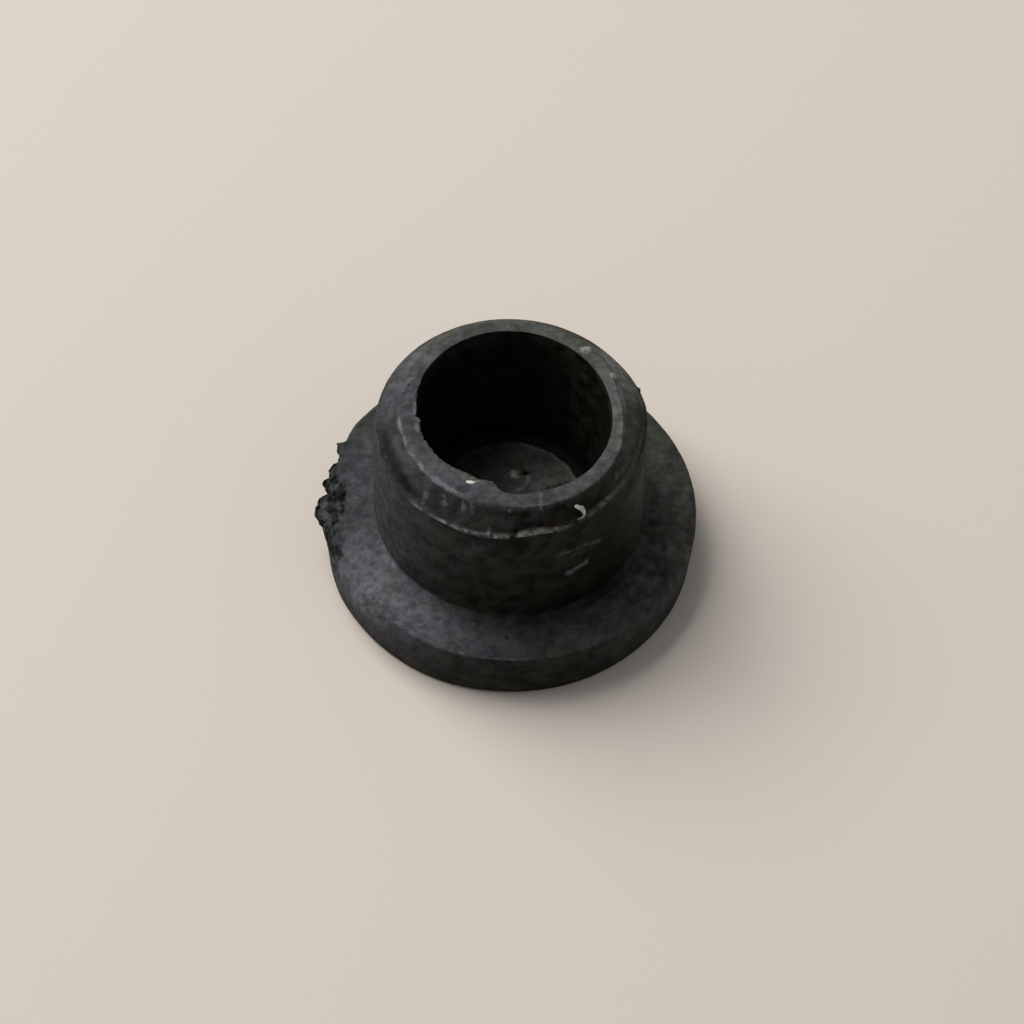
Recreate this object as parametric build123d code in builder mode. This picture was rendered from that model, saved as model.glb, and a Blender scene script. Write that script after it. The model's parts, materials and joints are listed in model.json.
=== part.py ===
from build123d import *
import math
import os

os.makedirs("parts", exist_ok=True)

# Hollow rubber plug, moulded in one piece. It stands on its flange with the mouth of the spigot up.
# Origin: centre of the flange's underside. Millimetres, +Z up, the torn edge on the -X side.

# Flange
flange_radius = 10.0
flange_thickness = 3.3
flange_top_round = 0.3
flange_foot_round = 0.5

# Spigot, from the flange's top face up to the parting ridge
spigot_radius = 7.2
spigot_foot_round = 0.45
spigot_straight = 6.3
shoulder_rise = 1.15
shoulder_radius = 7.02

# Ridge of flash at the parting line, and the groove inside it
ridge_reach = 0.1
ridge_thickness = 0.14
groove_width = 0.33
groove_depth = 0.1

# Nose above the groove, up to the lip
nose_rise = 1.1
lip_radius = 6.0
lip_round = 0.15

# Cavity. The core pin stood a little off centre in the mould, so the wall is thicker towards -Y
core_shift_x = 0.05
core_shift_y = 0.28
mouth_radius = 5.22
floor_radius = 4.55
floor_thickness = 3.5
floor_corner_round = 0.45

# Gate mark on the cavity's floor: a low ring, off the middle
gate_x = 0.4
gate_y = 1.75
gate_ring_radius = 0.68
gate_ring_wall = 0.24
gate_height = 0.14

# Film of flash left inside the lip: how far it reaches in from the mouth's wall, at each angle
film_thickness = 0.35
film_overlap = 0.3
film_reach = [
    (160, 0.04),
    (174, 0.16),
    (186, 0.28),
    (197, 0.22),
    (211, 0.30),
    (224, 0.42),
    (236, 0.48),
    (243, 0.54),
    (250, 0.40),
    (258, 0.42),
    (263, 0.05),
]

# Torn edge: ragged rubber that stands out from the flange's side, at each angle
torn_top_gap = 0.12
torn_height = 1.15
torn_overlap = 0.8
torn_reach = [
    (155, 0.02),
    (157.5, 0.40),
    (159.5, 0.06),
    (163, 0.03),
    (167, 0.17),
    (169.5, 0.05),
    (171.5, 0.33),
    (173.5, 0.12),
    (176, 0.04),
    (177.5, 0.32),
    (179.5, 0.57),
    (182.5, 0.61),
    (185, 0.56),
    (186.3, 0.10),
    (189.3, 0.19),
    (192.5, 0.08),
    (196, 0.10),
    (201, 0.02),
]

# Torn hollow behind it in the flange's top face: its two edges, in from the flange's side, at each angle
hollow_depth = 0.5
hollow_inner = [
    (166, 0.38),
    (170, 0.72),
    (174, 1.02),
    (178, 1.08),
    (181, 1.18),
    (184, 1.06),
    (187, 0.84),
    (190.5, 0.44),
]
hollow_outer = [
    (190, 0.20),
    (185, 0.36),
    (179, 0.42),
    (172, 0.38),
]

# Small nick beside the hollow, in the flange's top edge
nick_angle = 199.0
nick_width = 0.55
nick_length = 1.3
nick_depth = 0.3

shoulder_height = flange_thickness + spigot_straight + shoulder_rise
lip_height = shoulder_height + nose_rise
groove_radius = shoulder_radius - groove_width


def around(radius, angle):
    turn = math.radians(angle)
    return (radius * math.cos(turn), radius * math.sin(turn))


def edge_points(edge_radius, offsets):
    return [around(edge_radius + offset, angle) for angle, offset in offsets]


def corner(points, x, y):
    return points.sort_by_distance((x, y))[0]


with BuildPart() as rubber_plug:
    # Outside, turned from one half section
    with BuildSketch(Plane.XZ):
        with BuildLine():
            Polyline(
                (0, 0),
                (flange_radius, 0),
                (flange_radius, flange_thickness),
                (spigot_radius, flange_thickness),
                (spigot_radius, flange_thickness + spigot_straight),
                (shoulder_radius, shoulder_height - ridge_thickness),
                (shoulder_radius + ridge_reach, shoulder_height - ridge_thickness / 2),
                (shoulder_radius, shoulder_height),
                (groove_radius, shoulder_height - groove_depth),
                (lip_radius, lip_height),
                (0, lip_height),
                close=True,
            )
        half_section = make_face()
        fillet(corner(half_section.vertices(), flange_radius, 0), flange_foot_round)
        fillet(corner(half_section.vertices(), flange_radius, flange_thickness), flange_top_round)
        fillet(corner(half_section.vertices(), spigot_radius, flange_thickness), spigot_foot_round)
        fillet(corner(half_section.vertices(), lip_radius, lip_height), lip_round)
    revolve(axis=Axis.Z)

    # Torn rubber standing out of the flange's side
    torn_top = flange_thickness - torn_top_gap
    torn_ends = [torn_reach[-1][0], torn_reach[0][0]]
    with BuildSketch(Plane.XY.offset(torn_top)):
        with BuildLine():
            Polyline(
                *edge_points(flange_radius, torn_reach),
                *[around(flange_radius - torn_overlap, angle) for angle in torn_ends],
                close=True,
            )
        make_face()
    extrude(amount=-torn_height)

    # Cavity, open at the lip, about the core's own axis
    core_plane = Plane(origin=(core_shift_x, core_shift_y, 0), x_dir=(1, 0, 0), z_dir=(0, -1, 0))
    with BuildSketch(core_plane):
        with BuildLine():
            Polyline(
                (0, floor_thickness),
                (floor_radius, floor_thickness),
                (mouth_radius, lip_height),
                (0, lip_height),
                close=True,
            )
        core_section = make_face()
        fillet(corner(core_section.vertices(), floor_radius, floor_thickness), floor_corner_round)
    revolve(axis=Axis((core_shift_x, core_shift_y, 0), (0, 0, 1)), mode=Mode.SUBTRACT)

    # Film of flash inside the lip
    film_root = mouth_radius + film_overlap
    film_start = film_reach[0][0]
    film_end = film_reach[-1][0]
    film_inner = [around(mouth_radius - reach, angle) for angle, reach in film_reach]
    film_outer = [around(film_root, angle) for angle in (film_end, (film_start + film_end) / 2, film_start)]
    lip_plane = Plane(origin=(core_shift_x, core_shift_y, lip_height), x_dir=(1, 0, 0), z_dir=(0, 0, 1))
    with BuildSketch(lip_plane):
        with BuildLine():
            Polyline(*film_inner)
            Line(film_inner[-1], film_outer[0])
            ThreePointArc(*film_outer)
            Line(film_outer[-1], film_inner[0])
        make_face()
    extrude(amount=-film_thickness)

    # Gate mark, a low ring on the cavity's floor
    with BuildSketch(Plane.XY.offset(floor_thickness)):
        with Locations((gate_x, gate_y)):
            Circle(gate_ring_radius)
            Circle(gate_ring_radius - gate_ring_wall, mode=Mode.SUBTRACT)
    extrude(amount=gate_height)

    # Torn hollow in the flange's top face, behind the ragged edge
    hollow_in = [around(flange_radius - inset, angle) for angle, inset in hollow_inner]
    hollow_out = [around(flange_radius - inset, angle) for angle, inset in hollow_outer]
    with BuildSketch(Plane.XY.offset(flange_thickness)):
        with BuildLine():
            Polyline(*hollow_in, *hollow_out, close=True)
        make_face()
    extrude(amount=-hollow_depth, mode=Mode.SUBTRACT)

    # Nick in the flange's top edge
    nick_half_angle = math.degrees(nick_length / 2 / flange_radius)
    with BuildSketch(Plane.XY.offset(flange_thickness)):
        with BuildLine():
            Polyline(
                around(flange_radius - nick_width, nick_angle),
                around(flange_radius + nick_width, nick_angle - nick_half_angle),
                around(flange_radius + nick_width, nick_angle + nick_half_angle),
                close=True,
            )
        make_face()
    extrude(amount=-nick_depth, mode=Mode.SUBTRACT)

rubber_plug.part.label = "rubber_plug"
export_step(rubber_plug.part, "parts/rubber_plug.step")
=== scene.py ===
import json
import math

import bmesh
import bpy
from mathutils import Matrix, Vector, noise


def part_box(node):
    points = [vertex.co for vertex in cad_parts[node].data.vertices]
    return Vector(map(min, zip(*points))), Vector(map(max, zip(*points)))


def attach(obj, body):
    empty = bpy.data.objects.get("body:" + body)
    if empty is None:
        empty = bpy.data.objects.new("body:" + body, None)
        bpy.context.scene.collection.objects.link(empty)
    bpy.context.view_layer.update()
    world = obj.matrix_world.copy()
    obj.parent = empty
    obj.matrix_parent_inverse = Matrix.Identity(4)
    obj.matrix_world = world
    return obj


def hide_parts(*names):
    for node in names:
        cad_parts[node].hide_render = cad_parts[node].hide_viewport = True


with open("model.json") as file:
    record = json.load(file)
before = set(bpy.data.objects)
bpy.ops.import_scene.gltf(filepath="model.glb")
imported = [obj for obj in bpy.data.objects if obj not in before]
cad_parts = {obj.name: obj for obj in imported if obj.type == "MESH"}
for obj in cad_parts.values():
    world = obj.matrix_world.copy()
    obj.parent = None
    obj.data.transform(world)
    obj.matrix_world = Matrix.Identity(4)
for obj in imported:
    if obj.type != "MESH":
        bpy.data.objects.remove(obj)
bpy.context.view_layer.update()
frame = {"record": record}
mm = 0.001

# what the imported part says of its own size, in millimetres
lowCorner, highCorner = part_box("rubber_plug")
mounts = {mount["name"]: mount for mount in frame["record"]["mounts"]}
flangeRadius = highCorner.x / mm
lipHeight = highCorner.z / mm
flangeTop = mounts["flange_seat"]["pos_m"][2] / mm
spigotRadius = mounts["spigot"]["dims"]["r_mm"]


def deselectAll():
    if bpy.context.object and bpy.context.object.mode == "EDIT":
        bpy.ops.object.mode_set(mode="OBJECT")
    bpy.ops.object.select_all(action="DESELECT")


def pick(piece):
    deselectAll()
    bpy.context.view_layer.objects.active = piece
    piece.select_set(True)


def faceOutwards():
    # the last step in edit mode
    bpy.ops.mesh.select_all(action="SELECT")
    bpy.ops.mesh.normals_make_consistent(inside=False)
    bpy.ops.object.mode_set(mode="OBJECT")


def subdivideWhere(piece, kind, test, cuts):
    # in edit mode: subdivides the faces or edges that pass the test
    bpy.ops.mesh.select_all(action="DESELECT")
    mesh = bmesh.from_edit_mesh(piece.data)
    for item in getattr(mesh, kind):
        item.select_set(test(item))
    bmesh.update_edit_mesh(piece.data)
    bpy.ops.mesh.subdivide(number_cuts=cuts)


# small measuring helpers, all in millimetres and degrees


def turnOf(point):
    return math.degrees(math.atan2(point.y, point.x)) % 360


def ease(low, high, value):
    share = min(1, max(0, (value - low) / (high - low)))
    return share * share * (3 - 2 * share)


def hump(value, centre, width):
    return 1 - ease(0, width, abs(value - centre))


def humpRound(turn, centre, width):
    # the same round the circle, where 355 is close to 5
    return hump(abs((turn - centre + 180) % 360 - 180), 0, width)


def along(table, turn):
    # reads a table of (turn, amount), nothing outside it
    if turn < table[0][0] or turn > table[-1][0]:
        return 0
    for (a, low), (b, high) in zip(table, table[1:]):
        if turn <= b:
            return low + (high - low) * (turn - a) / (b - a)


def ripple(point, size, seed=0):
    # smooth noise of about that size, different for each seed
    return noise.noise(point / size + Vector((seed * 7.3, seed * 3.1, seed * 5.7)))


# the moulding: one chain of rings, from the underside, up over the lip and down to the
# cavity's floor

plug = {
    "columns": 360,
    "undersideRing": 9.0,
    "undersideInsets": (0.8, 1.6, 2.2, 2.4),
    "undersideRadius": 9.74,  # the flange's side leans in towards its underside
    "flangeFootRound": 0.3,
    "flangeTopRound": 0.22,
    "sideDraft": 0.12,
    "draftDrop": 1.6,
    "topFlat": 1.5,  # evenly ringed, for the torn edge
    "spigotFootRound": 0.45,
    "spigotStraight": 6.3,
    "shoulderRise": 1.15,
    "shoulderRadius": 7.02,
    "ridgeThickness": 0.14,
    "ridgeReach": 0.06,
    "grooveWidth": 0.22,
    "grooveDepth": 0.03,
    "lipRadius": 6.04,
    "lipRound": 0.16,
    "mouthRadius": 5.2,
    "mouthRound": 0.05,
    "floorRadius": 4.5,
    "floorHeight": 3.5,
    "floorRound": 0.5,
    "floorRings": ((3.6, 0.08), (2.9, 0.25), (0.9, 0.08), (0.15, 0.25)),  # radius, spacing
    "filmThickness": 0.3,
    "flangeCentre": (0, 0),
    "footCentre": (-0.03, -0.02),  # the spigot leans a hair away from the flange's middle
    "ridgeCentre": (-0.14, -0.09),
    "lipCentre": (0.04, -0.05),
    "mouthCentre": (0, 0.08),  # and the core that made the cavity leaned the other way
    "floorCentre": (-0.05, 0.31),
}
shoulderHeight = flangeTop + plug["spigotStraight"] + plug["shoulderRise"]
ridgeHeight = shoulderHeight - plug["ridgeThickness"] / 2
filmBack = lipHeight - plug["filmThickness"]


def plugCorners():
    # radius, height, centre, rounding, spacing of the rings on the way here
    p = plug
    flange, foot, ridge, lip = p["flangeCentre"], p["footCentre"], p["ridgeCentre"], p["lipCentre"]
    mouth, bottom = p["mouthCentre"], p["floorCentre"]
    ridgeTip = p["shoulderRadius"] + p["ridgeReach"]
    wallSlope = (p["mouthRadius"] - p["floorRadius"]) / (lipHeight - p["floorHeight"])
    filmRoot = p["mouthRadius"] - wallSlope * p["filmThickness"]
    grooveRadius = p["shoulderRadius"] - p["grooveWidth"]
    corners = [
        (p["undersideRing"], 0, flange, 0, 1),
        (p["undersideRadius"], 0, flange, p["flangeFootRound"], 0.3),
        (flangeRadius - p["sideDraft"], flangeTop - p["draftDrop"], flange, 0, 0.35),
        (flangeRadius, flangeTop, flange, p["flangeTopRound"], 0.1),
        (flangeRadius - p["topFlat"], flangeTop, flange, 0, 0.11),
        (spigotRadius, flangeTop, foot, p["spigotFootRound"], 0.16),
        (spigotRadius, flangeTop + p["spigotStraight"], ridge, 0, 0.34),
        (p["shoulderRadius"], shoulderHeight - p["ridgeThickness"], ridge, 0, 0.16),
        (ridgeTip, ridgeHeight - 0.02, ridge, 0, 0.05),
        (ridgeTip, ridgeHeight + 0.02, ridge, 0, 0.05),
        (p["shoulderRadius"], shoulderHeight, ridge, 0, 0.05),
        (grooveRadius, shoulderHeight - p["grooveDepth"], ridge, 0.08, 0.08),
        (p["lipRadius"], lipHeight, lip, p["lipRound"], 0.11),
        (p["mouthRadius"], lipHeight, mouth, p["mouthRound"], 0.08),
        (filmRoot + 0.01, filmBack + 0.03, mouth, 0, 0.08),
        (filmRoot, filmBack, mouth, 0, 0.08),
        (p["floorRadius"], p["floorHeight"], bottom, p["floorRound"], 0.45),
    ]
    return corners + [(radius, p["floorHeight"], bottom, 0, spacing) for radius, spacing in p["floorRings"]]


def roundCorners(corners, arcSteps=5):
    # walks the corners, rounding them, and gives (radius, height, centre x, centre y) for every ring
    stations = [Vector((*corners[0][:2], *corners[0][2]))]

    def walkTo(target, spacing):
        last = stations[-1].copy()
        count = max(1, round((target.xy - last.xy).length / spacing))
        stations.extend(last.lerp(target, i / count) for i in range(1, count + 1))

    for index in range(1, len(corners)):
        radius, height, centre, rounding, spacing = corners[index]
        here = Vector((radius, height, *centre))
        if rounding == 0:
            walkTo(here, spacing)
            continue
        before = (stations[-1].xy - here.xy).normalized()
        after = (Vector(corners[index + 1][:2]) - here.xy).normalized()
        half = before.angle(after) / 2
        cut = rounding / math.tan(half)
        hub = here.xy + (before + after).normalized() * (rounding / math.sin(half))
        start = here.xy + before * cut - hub
        end = here.xy + after * cut - hub
        walkTo(Vector((*(start + hub), *centre)), spacing)
        for i in range(1, arcSteps + 1):
            spoke = start.lerp(end, i / arcSteps).normalized() * rounding
            stations.append(Vector((*(hub + spoke), *centre)))
    return stations


def growRings(name, stations, columns):
    first = stations[0]
    deselectAll()
    bpy.ops.mesh.primitive_circle_add(vertices=columns, radius=first.x * mm, location=(0, 0, first.y * mm))
    piece = bpy.context.object
    piece.name = name
    bpy.ops.object.transform_apply(location=True, rotation=True, scale=True)
    bpy.ops.object.mode_set(mode="EDIT")
    bpy.ops.mesh.select_all(action="SELECT")
    for last, now in zip(stations, stations[1:]):
        step = Vector((now.z - last.z, now.w - last.w, now.y - last.y)) * mm
        hub = Vector((now.z, now.w, now.y)) * mm
        growth = now.x / last.x
        bpy.ops.mesh.extrude_edges_move(TRANSFORM_OT_translate={"value": step})
        bpy.ops.transform.resize(value=(growth, growth, 1), center_override=hub)
    bpy.ops.mesh.edge_face_add()  # closes the middle of the cavity's floor
    bpy.ops.mesh.select_all(action="DESELECT")
    mesh = bmesh.from_edit_mesh(piece.data)
    for edge in mesh.edges:
        edge.select = edge.is_boundary
    bmesh.update_edit_mesh(piece.data)
    bpy.ops.mesh.edge_face_add()  # and the underside
    for width in plug["undersideInsets"]:
        bpy.ops.mesh.inset(thickness=width * mm)
    bpy.ops.mesh.poke()
    faceOutwards()
    return piece


plugStations = roundCorners(plugCorners())
rubberPlug = growRings("rubberPlug", plugStations, plug["columns"])
print("stage: moulding,", len(plugStations), "rings,", len(rubberPlug.data.polygons), "faces")

# finer mesh where the rubber is torn, and along the flash lines


def refine(piece, test, cuts):
    # the faces whose middle passes the test
    pick(piece)
    bpy.ops.object.mode_set(mode="EDIT")
    bpy.ops.mesh.select_mode(type="FACE")
    subdivideWhere(piece, "faces", lambda face: test(face.calc_center_median() / mm), cuts)
    bpy.ops.object.mode_set(mode="OBJECT")


fineMesh = {
    "tornSpan": (152, 205),
    "tornDepth": 1.45,
    "tornHeight": 1.6,
    "filmSpan": (155, 268),
    "filmWidth": 0.3,
    "ridgeWidth": 0.05,
    "ridgeHeight": 0.1,
}


def within(turn, span):
    return span[0] < turn < span[1]


def inTornEdge(middle):
    far = middle.xy.length > flangeRadius - fineMesh["tornDepth"]
    high = middle.z > flangeTop - fineMesh["tornHeight"]
    return far and high and within(turnOf(middle), fineMesh["tornSpan"])


def fromMouth(point):
    return point.xy - Vector(plug["mouthCentre"])


def fromRidge(point):
    return point.xy - Vector(plug["ridgeCentre"])


def inFilm(middle):
    near = fromMouth(middle).length < plug["mouthRadius"] + fineMesh["filmWidth"]
    return near and middle.z > filmBack and within(turnOf(fromMouth(middle)), fineMesh["filmSpan"])


def inRidge(middle):
    out = fromRidge(middle).length > plug["shoulderRadius"] - fineMesh["ridgeWidth"]
    return out and abs(middle.z - ridgeHeight) < fineMesh["ridgeHeight"]


refine(rubberPlug, inTornEdge, 2)
refine(rubberPlug, inFilm, 1)
refine(rubberPlug, inRidge, 1)
print("stage: refined,", len(rubberPlug.data.polygons), "faces")

# wear and moulding faults, pressed into the mesh
# each move, and each mask further down, takes a point in millimetres and its normal

settle = {  # how far the rims have crept out of round, by turn
    "flange": [
        (0, 0), (20, 0.03), (40, 0.05), (60, 0.03), (100, 0), (126, 0.06), (138, 0.1), (148, 0.14),
        (155, 0.05), (160, 0), (190, 0.02), (204, 0.06), (215, 0), (300, 0), (346, 0.03), (353, 0.05),
        (360, 0),
    ],
    "bevel": [
        (194, 0), (202, 0.22), (212, 0.4), (226, 0.42), (238, 0.34), (250, 0.2), (290, 0.13), (304, 0.05),
        (330, 0.1), (345, 0.04), (360, 0),
    ],
    "ridge": [
        (0, 0.1), (12, 0.19), (22, 0.12), (40, 0.02), (150, 0.02), (190, -0.05), (210, 0), (234, 0.06),
        (262, 0.07), (300, 0.02), (318, -0.09), (340, -0.04), (360, 0.1),
    ],
    "fill": [  # where no groove is left
        (0, 0.9), (60, 1), (164, 1), (184, 0.5), (215, 0.35), (235, 0), (328, 0), (346, 0.6), (360, 0.9),
    ],
    "groove": [(168, 0), (185, 0.09), (200, 0.17), (214, 0.16), (226, 0.08), (240, 0.03), (252, 0)],
    "lip": [
        (0, -0.38), (16, -0.46), (30, -0.26), (45, -0.12), (60, -0.06), (80, 0.04), (140, 0.07),
        (155, 0.08), (168, 0), (176, -0.1), (186, -0.12), (198, -0.18), (212, -0.22), (234, -0.21),
        (258, -0.13), (266, -0.05), (282, -0.02), (290, 0.06), (318, 0.05), (330, -0.02), (340, -0.08),
        (350, -0.27), (360, -0.38),
    ],
    "mouth": [
        (0, 0), (12, -0.08), (30, -0.11), (45, -0.08), (60, -0.02), (84, 0.06), (108, 0.12), (132, 0.1),
        (156, 0.02), (168, 0), (200, 0), (258, 0), (265, 0.1), (280, 0.18), (300, 0.2), (318, 0.22),
        (330, 0.16), (342, 0.1), (360, 0),
    ],
}
torn = {
    "span": (151, 206),
    "height": 1.3,
    "reach": [  # how far the shreds stand out of the flange's side
        (152, 0), (154.8, -0.05), (155.6, 0.08), (156.7, 0.42), (157.8, 0.12), (159.5, -0.02), (162, -0.14),
        (164.3, 0.02), (166.6, 0.15), (168.8, -0.06), (169.8, 0.06), (170.8, 0.32), (171.8, 0.17),
        (173.5, 0.05), (175.4, -0.15), (176.3, 0.08), (177, 0.26), (178.5, 0.5), (180, 0.46), (181.8, 0.55),
        (184, 0.5), (184.9, 0.2), (185.6, 0), (188.5, 0.11), (191, 0.02), (194.8, -0.06), (200, 0.04),
        (204, 0),
    ],
    "innerRim": [  # the hollow behind them, measured in from the flange's side
        (161, 0.25), (166, 0.6), (168.9, 0.85), (173.7, 1.2), (178, 1.24), (181, 1.25), (184, 1.15),
        (187, 1.1), (191, 1.15), (195, 0.95), (198, 0.6), (202, 0.3),
    ],
    "outerRim": [(161, 0.2), (168, 0.3), (173, 0.4), (179, 0.45), (186, 0.45), (195, 0.35), (202, 0.25)],
    "depth": [
        (161, 0), (164, 0.1), (168, 0.2), (172, 0.42), (178, 0.3), (182, 0.4), (186, 0.22), (195, 0.1),
        (202, 0.05),
    ],
}
film = {
    "reach": [  # in from the cavity's wall
        (155, 0), (162, 0.05), (170, 0.1), (177, 0.16), (183, 0.17), (185.5, 0.12), (187, 0.3), (189, 0.33),
        (191, 0.27), (198, 0.24), (205, 0.28), (213, 0.33), (220, 0.34), (228.6, 0.41), (236, 0.52),
        (243, 0.55), (246, 0.5), (249.5, 0.46), (253, 0.53), (258, 0.54), (261, 0.4), (265, 0.1), (269, 0),
    ],
    "drop": 0.05,
}
flash = {
    "reach": [  # how far the parting line's flash stands out
        (0, 0), (19.5, 0), (21.5, 0.14), (23.5, 0), (60, -0.02), (120, -0.05), (218, -0.05), (224, 0),
        (228, 0.05), (234, 0.02), (238, 0.04), (243, 0.04), (248, 0.03), (252, 0.06), (257, 0.05),
        (261, 0.09), (262.8, 0.07), (263.6, 0.04), (264.4, 0.07), (269, 0.1), (271, 0.08), (272, 0.03),
        (273, 0.03), (275, 0.09), (282, 0.12), (290, 0.1), (294, 0.05), (302, 0.04), (310, 0.03),
        (318, 0.02), (330, 0.02), (340, 0.01), (360, 0),
    ],
    "thickness": [
        (0, 0.06), (222, 0.06), (229, 0.07), (234, 0.05), (239, 0.07), (244, 0.07), (252, 0.1), (262, 0.1),
        (266, 0.14), (270, 0.14), (274, 0.12), (275, 0.28), (280, 0.32), (289, 0.28), (294, 0.13),
        (303, 0.12), (310, 0.22), (326, 0.26), (336, 0.16), (345, 0.08), (360, 0.06),
    ],
    "height": [  # the line wanders up and down
        (0, 10.74), (190, 10.72), (224, 10.66), (230, 10.7), (241, 10.76), (250, 10.68), (258, 10.62),
        (264, 10.7), (271, 10.7), (276, 10.86), (283, 10.93), (289, 10.82), (296, 10.56), (304, 10.58),
        (312, 10.64), (322, 10.82), (332, 10.8), (345, 10.76), (360, 10.74),
    ],
}
gate = {
    "place": (0.36, 1.70),
    "radius": 0.62,
    "wall": 0.2,
    "height": 0.12,
    "pip": (0.18, 2.04),
    "pit": (0.77, 2.18),
}
dents = [  # place, how wide, how deep
    ((-0.03, -8.34, flangeTop), 0.26, 0.12),
    ((-0.36, -7.55, flangeTop), 0.2, 0.06),
    ((-9.05, -3.1, flangeTop), 0.28, 0.12),
    ((-5.75, 0.95, lipHeight), 0.22, 0.1),
    ((-5.5, 1.45, lipHeight), 0.2, 0.08),
    ((-1.36, -7.15, 8.3), 0.16, 0.06),
    ((-2.75, -6.8, 8.1), 0.24, 0.08),
    ((-1.30, -7.05, 6.2), 0.34, 0.05),
    ((-4.1, -5.9, 6.9), 0.4, 0.05),
    ((1.2, -7.05, 5.4), 0.45, 0.05),
    ((4.9, -5.2, 7.4), 0.5, 0.06),
    ((5.6, -4.6, 9.3), 0.45, 0.05),
    ((5.45, -4.35, 11.0), 0.25, 0.05),
    ((9.78, 1.9, flangeTop), 0.25, 0.08),
    ((7.9, -6.0, flangeTop), 0.3, 0.07),
    ((4.6, -8.6, flangeTop), 0.3, 0.06),
    ((-4.2, -8.9, flangeTop), 0.25, 0.06),
    ((-8.5, -5.2, flangeTop), 0.22, 0.05),
]


def rimOf(name, turn):
    return along(settle[name], turn)


def outOfRound(point, normal):
    sway = noise.noise(Vector((point.x * 0.2, point.y * 0.2, point.z * 0.1)) + Vector((3.1, 0.4, 1.7)))
    shrink = 1 + 0.0045 * (sway - 0.75)
    wave = 0.06 * (0.5 + 0.5 * noise.noise(Vector((point.x * 0.3, point.y * 0.3, 4.2))))
    sink = wave * ease(10.9, 11.7, point.z)
    return Vector((point.x * shrink, point.y * shrink, point.z - sink))


def skinLumps(point, normal):
    if point.z < 0.4:
        return point
    lump = 0.022 * ripple(point, 1.3, 1) + 0.012 * ripple(point, 0.5, 2)
    return point + normal * lump


def settleRims(point, normal):
    # flange, ridge, lip and mouth, each pulled a little out of round
    inner = fromMouth(point)
    gap = inner.length - plug["mouthRadius"]
    if point.z > flangeTop + 0.3 and gap < 0.8:
        share = (1 - ease(0, 0.8, gap)) * ease(6, 10.5, point.z)
        slide = inner.normalized() * rimOf("mouth", turnOf(inner)) * share
        point = Vector((point.x + slide.x, point.y + slide.y, point.z))
    spoke = fromRidge(point)
    turn = turnOf(spoke)
    if point.z > 8 and gap > 0:
        out = rimOf("ridge", turn) * ease(8.6, 10.6, point.z) * (1 - ease(10.9, 11.6, point.z))
        out += rimOf("lip", turn) * ease(10.95, 11.75, point.z) * ease(5.2, 6.02, spoke.length)
        slide = spoke.normalized() * out
        sink = rimOf("groove", turn) * hump(spoke.length, 6.78, 0.24) * (1 - ease(10.9, 11.3, point.z))
        if point.z > 10.6:
            filled = min(0.42 * (spoke.length - 6.1), 1.15 * (7.06 - spoke.length))
            sink -= rimOf("fill", turn) * max(0, filled)
        point = Vector((point.x + slide.x, point.y + slide.y, point.z - sink * ease(9.8, 10.5, point.z)))
    radius = point.xy.length
    if radius > 8 and point.z < flangeTop + 0.1:
        turn = turnOf(point)
        cut = rimOf("bevel", turn) * ease(flangeTop - 1.4, flangeTop, point.z)
        cut *= ease(flangeRadius - 0.9, flangeRadius - 0.05, radius)
        growth = 1 + (rimOf("flange", turn) * ease(8.2, 9.8, radius) - cut) / radius
        point = Vector((point.x * growth, point.y * growth, point.z - 0.5 * cut))
    return point


def tearEdge(point, normal):
    turn = turnOf(point)
    if not within(turn, torn["span"]) or point.z < flangeTop - torn["height"] - 0.2:
        return point
    radius = point.xy.length
    if radius < flangeRadius - 1.6:
        return point
    flat = Vector((math.cos(math.radians(turn)), math.sin(math.radians(turn)), 0))
    depthIn = flangeRadius - radius
    wander = 0.35 * ripple(point, 0.4, 3)
    outward = along(torn["reach"], turn + wander)
    low = flangeTop - torn["height"]
    rise = ease(low - 0.15, low + 0.3 + 0.3 * ripple(point, 0.35, 4), point.z)
    rim = ease(0.75, 0.05, depthIn)
    shred = 0.8 + 0.4 * ripple(point, 0.4, 5)
    moved = point + flat * outward * rise * rim * shred
    # the hollow behind the shreds
    inner = along(torn["innerRim"], turn) + 0.12 * ripple(point, 0.4, 6)
    outer = along(torn["outerRim"], turn) + 0.08 * ripple(point, 0.3, 7)
    inside = ease(outer - 0.14, outer + 0.08, depthIn) * (1 - ease(inner - 0.3, inner + 0.15, depthIn))
    top = ease(flangeTop - 0.3, flangeTop - 0.1, point.z)
    moved.z -= top * inside * along(torn["depth"], turn) * (0.8 + 0.7 * ripple(point, 0.35, 8))
    # what is left of the rim is lower and rough
    reach = ease(152, 158, turn) * (1 - ease(199, 205, turn))
    edgeMask = reach * (1 - ease(outer - 0.25, outer, depthIn))
    moved.z -= top * edgeMask * (0.22 + 0.2 * (0.5 + ripple(point, 0.3, 9)))
    rough = reach * ease(inner + 0.25, inner - 0.05, depthIn) * rise
    jolt = Vector((ripple(point, 0.4, 10), ripple(point, 0.4, 11), ripple(point, 0.4, 12)))
    crumb = Vector((ripple(point, 0.14, 25), ripple(point, 0.14, 26), ripple(point, 0.14, 27)))
    return moved + (jolt * 0.09 + crumb * 0.03) * rough


def spreadFilm(point, normal):
    spoke = fromMouth(point)
    turn = turnOf(spoke)
    reach = along(film["reach"], turn)
    above = ease(filmBack + 0.005, filmBack + 0.03, point.z)
    if reach == 0 or above == 0:
        return point
    gap = spoke.length - plug["mouthRadius"]
    share = 1 - ease(-0.02, 0.55, gap)
    ragged = 0.06 * ripple(point, 0.25, 13) + 0.04 * ripple(point, 0.1, 14)
    slide = spoke.normalized() * (reach + ragged) * share * above
    sink = film["drop"] * share * above * min(1, reach / 0.3)
    return Vector((point.x - slide.x, point.y - slide.y, point.z - sink))


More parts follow.
